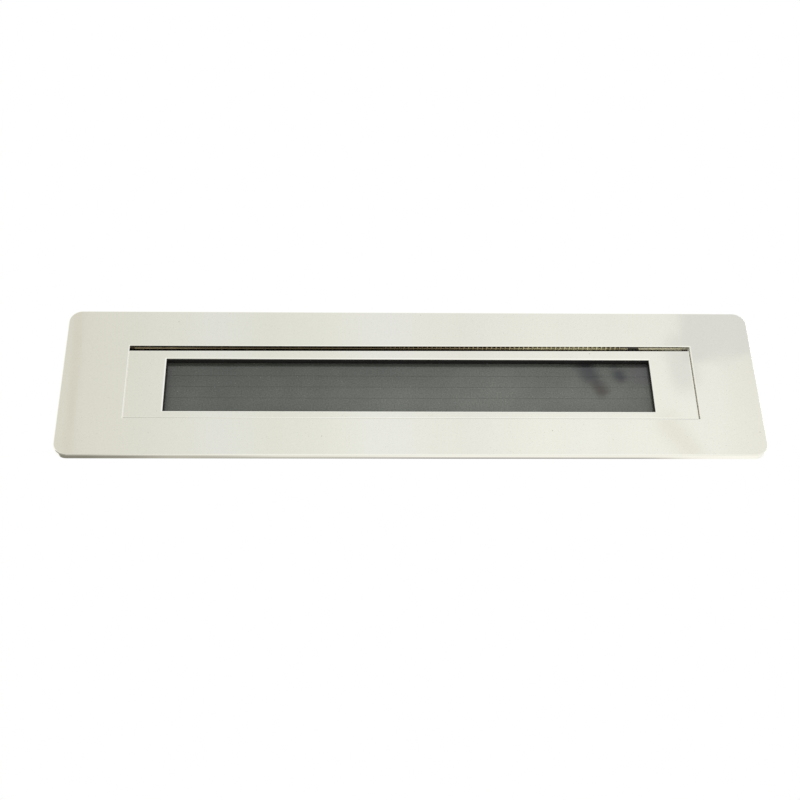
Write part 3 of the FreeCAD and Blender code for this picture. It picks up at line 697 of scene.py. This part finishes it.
def foam_bar(name, node):
    """A strip of closed-cell foam, with rounded long edges that wander a little."""
    lo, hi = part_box(node)
    size = hi - lo
    axis = 0 if size.x > size.z else 2
    across = 2 - axis
    soft, row_length, corner_steps = 0.32 * MM, 1.6 * MM, 4
    middle_u, middle_v = (lo[across] + hi[across]) / 2, (lo.y + hi.y) / 2
    section = []
    for corner, (u, v) in enumerate(((1, 0), (1, 1), (0, 1), (0, 0))):
        centre_u = (lo[across] + soft) if u == 0 else (hi[across] - soft)
        centre_v = (lo.y + soft) if v == 0 else (hi.y - soft)
        for i in range(corner_steps + 1):
            a = math.radians(-90 + 90 * corner + 90 * i / corner_steps)
            section.append((centre_u + soft * math.cos(a), centre_v + soft * math.sin(a)))

    rows = max(int(size[axis] / row_length), 8)
    loops = []
    for k in range(rows + 1):
        at_end = 0.25 * MM if k in (0, rows) else 0.0
        pinch = abs(0.035 * MM * (math.sin(k * 1.7) + math.sin(k * 0.61 + 1.0)) - 0.07 * MM)
        loop = []
        for u, v in section:
            point = [0.0, drawn_in(v, middle_v, at_end), 0.0]
            point[axis] = lo[axis] + size[axis] * (k / rows)
            point[across] = drawn_in(u, middle_u, pinch + at_end)
            loop.append(tuple(point))
        loops.append(loop)
    add_piece(name, *loft(loops, endless=False), "plate", "black_foam", [node], 60.0)


def window_gasket():
    """The panel's seal: a flat bed behind the frame and a lip that lines the window's walls."""
    lo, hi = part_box("panel_seal")
    rear, front, lip = hi.y, lo.y, 0.2 * MM
    section = [(PANEL_LAP, rear - SEAL_BED + 0.05 * MM), (PANEL_LAP, rear), (-lip, rear),
               (-lip, front + 0.12 * MM), (-lip * 0.75, front + 0.03 * MM), (-lip * 0.4, front),
               (0, front + 0.05 * MM), (0, rear - SEAL_BED)]
    x0, x1, z0, z1 = window_box()
    loops = []
    for grow, y in section:
        loop = rounded_loop(x0 - grow, x1 + grow, z0 - grow, z1 + grow, 0.3 * MM + 0.5 * grow, 4)
        loops.append([(x, y, z) for x, z in loop])
    add_piece("window_gasket", *loft(loops), "flap", "black_rubber", ["panel_seal"], 40.0)


# ---- studs and nuts -----------------------------------------------------------------------------
M3_RADIUS, M3_PITCH, M3_FLATS = 1.5 * MM, 0.5 * MM, 5.5 * MM
M5_RADIUS, M5_PITCH = 2.5 * MM, 0.8 * MM


def tooth(y, share, pitch):
    """0 to 1 and back in each turn of a thread, at height y and that share of a turn round."""
    return abs((y / pitch - share) % 1.0 * 2 - 1)


def threaded_rod(x, z, y0, y1, radius, pitch, taper):
    """A threaded rod along +Y: one closed strip of rings whose radius follows the thread."""
    sides, rows_per_turn = 28, 8
    depth = 0.54 * pitch
    rows = int((y1 - y0) / pitch * rows_per_turn)
    loops = []
    for k in range(rows + 1):
        y = y0 + (y1 - y0) * k / rows
        loop = []
        for j, a in enumerate(around(sides)):
            cut = min(max((tooth(y, j / sides, pitch) - 0.12) / 0.72, 0.0), 1.0) * depth
            r = min(radius - cut, radius - taper + (y1 - y))
            loop.append((x + r * math.cos(a), y, z + r * math.sin(a)))
        loops.append(loop)
    return loft(loops, endless=False)


def threaded_studs(name, node, radius, pitch, taper):
    lo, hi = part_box(node)
    z = (lo.z + hi.z) / 2
    rods = [threaded_rod(x, z, lo.y, hi.y, radius, pitch, taper) for x in (lo.x + radius, hi.x - radius)]
    add_piece(name, *joined(rods), "plate", "weld_stud", [node], 25.0)


def hex_nut(x, z, y0, y1):
    """An M3 nut along +Y with 30 degree chamfers on its corners and an eased thread mouth."""
    sides, bore, mouth, row_height = 48, M3_RADIUS, 0.2 * MM, 0.125 * MM
    round_r = M3_FLATS / 2 * 0.94
    fall = math.tan(math.radians(30))

    def hexagon(y, chamfer):
        points = []
        for a in around(sides):
            from_flat = (a + math.pi / 6) % (math.pi / 3) - math.pi / 6
            r = M3_FLATS / 2 / math.cos(from_flat)
            points.append((x + r * math.cos(a), y + (r - round_r) * chamfer, z + r * math.sin(a)))
        return points

    loops = [ring(x, z, y0, bore + 0.15 * MM, sides), ring(x, z, y0, round_r, sides), hexagon(y0, fall),
             hexagon(y1, -fall), ring(x, z, y1, round_r, sides), ring(x, z, y1, bore + mouth, sides),
             ring(x, z, y1 - mouth, bore, sides)]
    for k in range(1, int((y1 - y0 - 0.35 * MM) / row_height)):
        y = y1 - mouth - k * row_height
        loop = []
        for j, a in enumerate(around(sides)):
            r = bore + 0.10 * MM * tooth(y, j / sides, M3_PITCH)
            loop.append((x + r * math.cos(a), y, z + r * math.sin(a)))
        loops.append(loop)
    return loft(loops)


def bracket_nuts():
    lo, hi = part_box("bracket_nuts")
    z = (lo.z + hi.z) / 2
    studs_lo, studs_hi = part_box("bracket_studs")
    nuts = [hex_nut(x, z, lo.y, hi.y) for x in (studs_lo.x + M3_RADIUS, studs_hi.x - M3_RADIUS)]
    add_piece("chamfered_nuts", *joined(nuts), "plate", "zinc_fastener", ["bracket_nuts"], 30.0)


plate_face()
flap_face()
torsion_spring()
hinge_lip()
for side_name in ("left", "right", "bottom"):
    foam_bar("foam_" + side_name, "seal_" + side_name)
window_gasket()
threaded_studs("fixing_threads", "fixing_studs", M5_RADIUS, M5_PITCH, 0.6 * MM)
threaded_studs("bracket_threads", "bracket_studs", M3_RADIUS, M3_PITCH, 0.3 * MM)
bracket_nuts()


# ---- stage: floor, cards for the reflections, lamps and world -----------------------------------
FLOOR_Z = -0.56


def stage_plane(name, centre, normal, up, width, height):
    """A plane that faces along normal; its own x and y run along the width and up."""
    z = Vector(normal).normalized()
    x = Vector(up).cross(z).normalized()
    y = z.cross(x)
    mesh = bpy.data.meshes.new(name)
    w, h = width / 2, height / 2
    mesh.from_pydata([(-w, -h, 0), (w, -h, 0), (w, h, 0), (-w, h, 0)], [], [(0, 1, 2, 3)])
    obj = bpy.data.objects.new(name, mesh)
    obj.matrix_world = Matrix.Translation(centre) @ Matrix((x, y, z)).transposed().to_4x4()
    scene.collection.objects.link(obj)
    return obj


def add_floor():
    """A pale floor, which is mirrored as a bright surface that darkens to one side."""
    floor = stage_plane("floor", (0, 0, FLOOR_Z), (0, 0, 1), (0, 1, 0), 12.0, 12.0)
    m = Shader("floor")
    m.set(Base_Color=m.mix(m.noise(3.0, 3.0), (0.60, 0.60, 0.575), (0.63, 0.63, 0.60)), Roughness=0.8,
          Specular_IOR_Level=0.2)
    glow = m.ramp(m.axes()[0], ((-0.34, (0.40, 0.39, 0.35)), (-0.25, (0.60, 0.59, 0.54)),
                                (-0.20, (0.93, 0.925, 0.90))))
    either = m.tree.nodes.new("ShaderNodeMixShader")
    rays = m.tree.nodes.new("ShaderNodeLightPath").outputs
    m.feed(either.inputs["Fac"], rays["Is Glossy Ray"])
    m.feed(either.inputs[1], m.surface.outputs[0])
    m.feed(either.inputs[2], m.emit(glow))
    m.feed(m.output.inputs["Surface"], either.outputs[0])
    floor.data.materials.append(m.material)


class Card:
    """A plane that only reflections see, where a flat side of the plate mirrors the camera's view."""

    def __init__(self, name, spot, normal, distance, width, height):
        spot, normal = Vector(spot), Vector(normal)
        self.eye = EYE - 2 * (EYE - spot).dot(normal) * normal
        look = (spot - self.eye).normalized()
        self.plane = stage_plane(name, spot + look * distance, -look, (0, 0, 1), width, height)
        self.inverse = self.plane.matrix_world.inverted()
        self.plane.visible_camera = self.plane.visible_diffuse = False
        self.plane.visible_shadow = self.plane.visible_transmission = False
        self.m = Shader(name)
        self.u, self.v, _ = self.m.axes()

    def at(self, x, z):
        """Where a point of the plate's front, in mm, is mirrored on the card, in the card's metres."""
        a, b = self.inverse @ self.eye, self.inverse @ (Vector((x, FACE_Y / MM, z)) * MM)
        t = a.z / (a.z - b.z)
        return a.x + (b.x - a.x) * t, a.y + (b.y - a.y) * t, 0.0

    def along(self, stops, z=0):
        """A ramp whose stops are given as (x in mm, tone), along the plate's front at height z in mm."""
        return self.m.ramp(self.u, sorted((self.at(x, z)[0], tone) for x, tone in stops))

    def above(self, start, end, soft):
        """1 on the upper side of the line through two points of the front, fading over soft metres."""
        (ax, ay, _), (bx, by, _) = self.at(*start), self.at(*end)
        slope = (by - ay) / (bx - ax)
        line = self.m.math("ADD", self.m.times(self.m.math("SUBTRACT", self.u, ax), slope), ay)
        return self.m.span(self.m.math("SUBTRACT", self.v, line), -soft, soft, 0, 1, True)

    def stroke(self, start, end, inner, outer):
        return self.m.stroke(self.m.place, self.at(*start), self.at(*end), inner, outer)

    def paint(self, tone):
        self.m.feed(self.m.output.inputs["Surface"], self.m.emit(tone))
        self.plane.data.materials.append(self.m.material)


def add_screen():
    """What the face mirrors: a pale warm room, darker at the left, with a lilac corner at the right."""
    card = Card("screen", TARGET, (0, 1, 0), 1.9, 3.4, 2.4)
    m = card.m
    tone = card.along((
        (-160, (0.829, 0.823, 0.784)), (-132, (0.864, 0.867, 0.848)), (-107, (0.892, 0.904, 0.896)),
        (-88, (0.919, 0.932, 0.935)), (-62, (0.914, 0.927, 0.915)), (-42, (0.942, 0.955, 0.954)),
        (-12, (0.985, 0.999, 1.016)), (25, (0.985, 0.989, 1.000)), (60, (1.026, 1.038, 1.050)),
        (105, (1.040, 1.048, 1.060)), (130, (1.032, 1.040, 1.054)), (155, (0.985, 0.984, 0.975))))

    # faint folds; the upper right is a little darker
    folds = m.noise(1.0, 2.0, 0.55, m.stretch((15.0, 0.4, 1.0)))
    height = m.span(card.v, card.at(0, -30)[1], card.at(0, 30)[1])
    fall = m.times(height, card.along(((-60, 0.024), (20, 0.050), (120, 0.064))))
    level = m.math("SUBTRACT", m.span(folds, 0.3, 0.7, 1.009, 1.033), fall)
    tone = m.mix(1.0, tone, level, "MULTIPLY")

    # a few faint cool bands stand between the warm ones
    cool = card.along(((-112, 0.0), (-98, 0.10), (-86, 0.75), (-74, 0.7), (-64, 0.0), (-30, 0.0),
                       (-16, 0.7), (-4, 0.75), (6, 0.0), (22, 0.0), (31, 0.5), (42, 0.0), (66, 0.0),
                       (74, 0.4), (88, 0.1)))
    tone = m.mix(cool, tone, m.mix(1.0, tone, (0.994, 1.0, 1.035), "MULTIPLY"))

    # a pale lilac corner at the upper right, with a slanting lower border, and a softer tail left of it
    border_a, border_b = sorted((card.at(118.5, 20)[0], card.at(123.0, 20)[0]))
    rightward = card.at(150, 20)[0] > card.at(100, 20)[0]
    past = m.span(card.u, border_a, border_b, 0 if rightward else 1, 1 if rightward else 0, True)
    patch = m.times(past, card.above((126, 9.5), (150, 15.5), 0.006))
    tail = card.stroke((119, 20), (121, 2), 0.010, 0.034)
    tone = m.mix(m.most(patch, m.times(tail, 0.75)), tone, (0.868, 0.872, 0.905))

    # a narrow warm strip by the left edge and a faint warm streak at the lower right
    strip = card.stroke((-148.5, 40), (-145.8, -40), 0.004, 0.010)
    tone = m.mix(strip, tone, (0.800, 0.772, 0.735))
    streak = card.stroke((110, -22), (119, -36), 0.004, 0.030)
    tone = m.mix(m.times(streak, 0.8), tone, (0.960, 0.950, 0.915))
    card.paint(tone)


def add_under():
    """What the plate's lower edge mirrors: bright at the right and dark at the left."""
    card = Card("under", (TARGET.x, FACE_Y / 2, PLATE_LOW.z), (0, 0, 1), 0.5, 1.4, 0.36)
    m = card.m
    shade = card.along((
        (-160, (0.25, 0.24, 0.21)), (-140, (0.25, 0.24, 0.21)), (-129, (0.31, 0.30, 0.265)),
        (-96, (0.54, 0.53, 0.48)), (-47, (0.83, 0.82, 0.78)), (15, (0.97, 0.96, 0.94)),
        (94, (1.0, 0.99, 0.96)), (119, (1.03, 1.02, 0.99)), (150, (1.05, 1.04, 1.01))),
        PLATE_LOW.z / MM)
    blotches = m.span(m.noise(9.0, 3.0, 0.6), 0.3, 0.7, 0.0, 0.14)
    card.paint(m.mix(blotches, shade, (0.25, 0.24, 0.22)))


def add_lamp(name, place, size, power, mirrored=True):
    """A soft rectangular lamp that shines on the object."""
    data = bpy.data.lights.new(name, "AREA")
    data.shape = "RECTANGLE"
    data.size, data.size_y = size
    data.energy = power
    data.color = (1.0, 0.995, 0.98)
    obj = bpy.data.objects.new(name, data)
    obj.location = place
    obj.rotation_euler = (-Vector(place)).to_track_quat("-Z", "Y").to_euler()
    obj.visible_glossy = mirrored
    scene.collection.objects.link(obj)


def add_world():
    """White at full strength to the camera, in reflections and through glass; dimmer as a light."""
    world = bpy.data.worlds.new("world")
    scene.world = world
    world.use_nodes = True
    tree = world.node_tree
    background = tree.nodes["Background"]
    background.inputs["Color"].default_value = (1, 1, 1, 1)
    rays = tree.nodes.new("ShaderNodeLightPath").outputs
    seen = rays["Is Camera Ray"]
    for ray in ("Is Glossy Ray", "Is Transmission Ray"):
        node = tree.nodes.new("ShaderNodeMath")
        node.operation = "MAXIMUM"
        tree.links.new(seen, node.inputs[0])
        tree.links.new(rays[ray], node.inputs[1])
        seen = node.outputs[0]
    strength = tree.nodes.new("ShaderNodeMapRange")
    tree.links.new(seen, strength.inputs["Value"])
    strength.inputs["To Min"].default_value = 0.6
    strength.inputs["To Max"].default_value = 1.0
    tree.links.new(strength.outputs["Result"], background.inputs["Strength"])


add_floor()
add_screen()
add_under()
add_lamp("key", (-1.1, -1.5, 1.2), (1.1, 1.1), 17.0, False)
add_lamp("fill", (1.5, -1.2, 0.5), (1.2, 1.2), 7.0, False)
add_lamp("rear", (0.9, 1.5, 1.1), (1.2, 1.0), 15.0)
add_world()
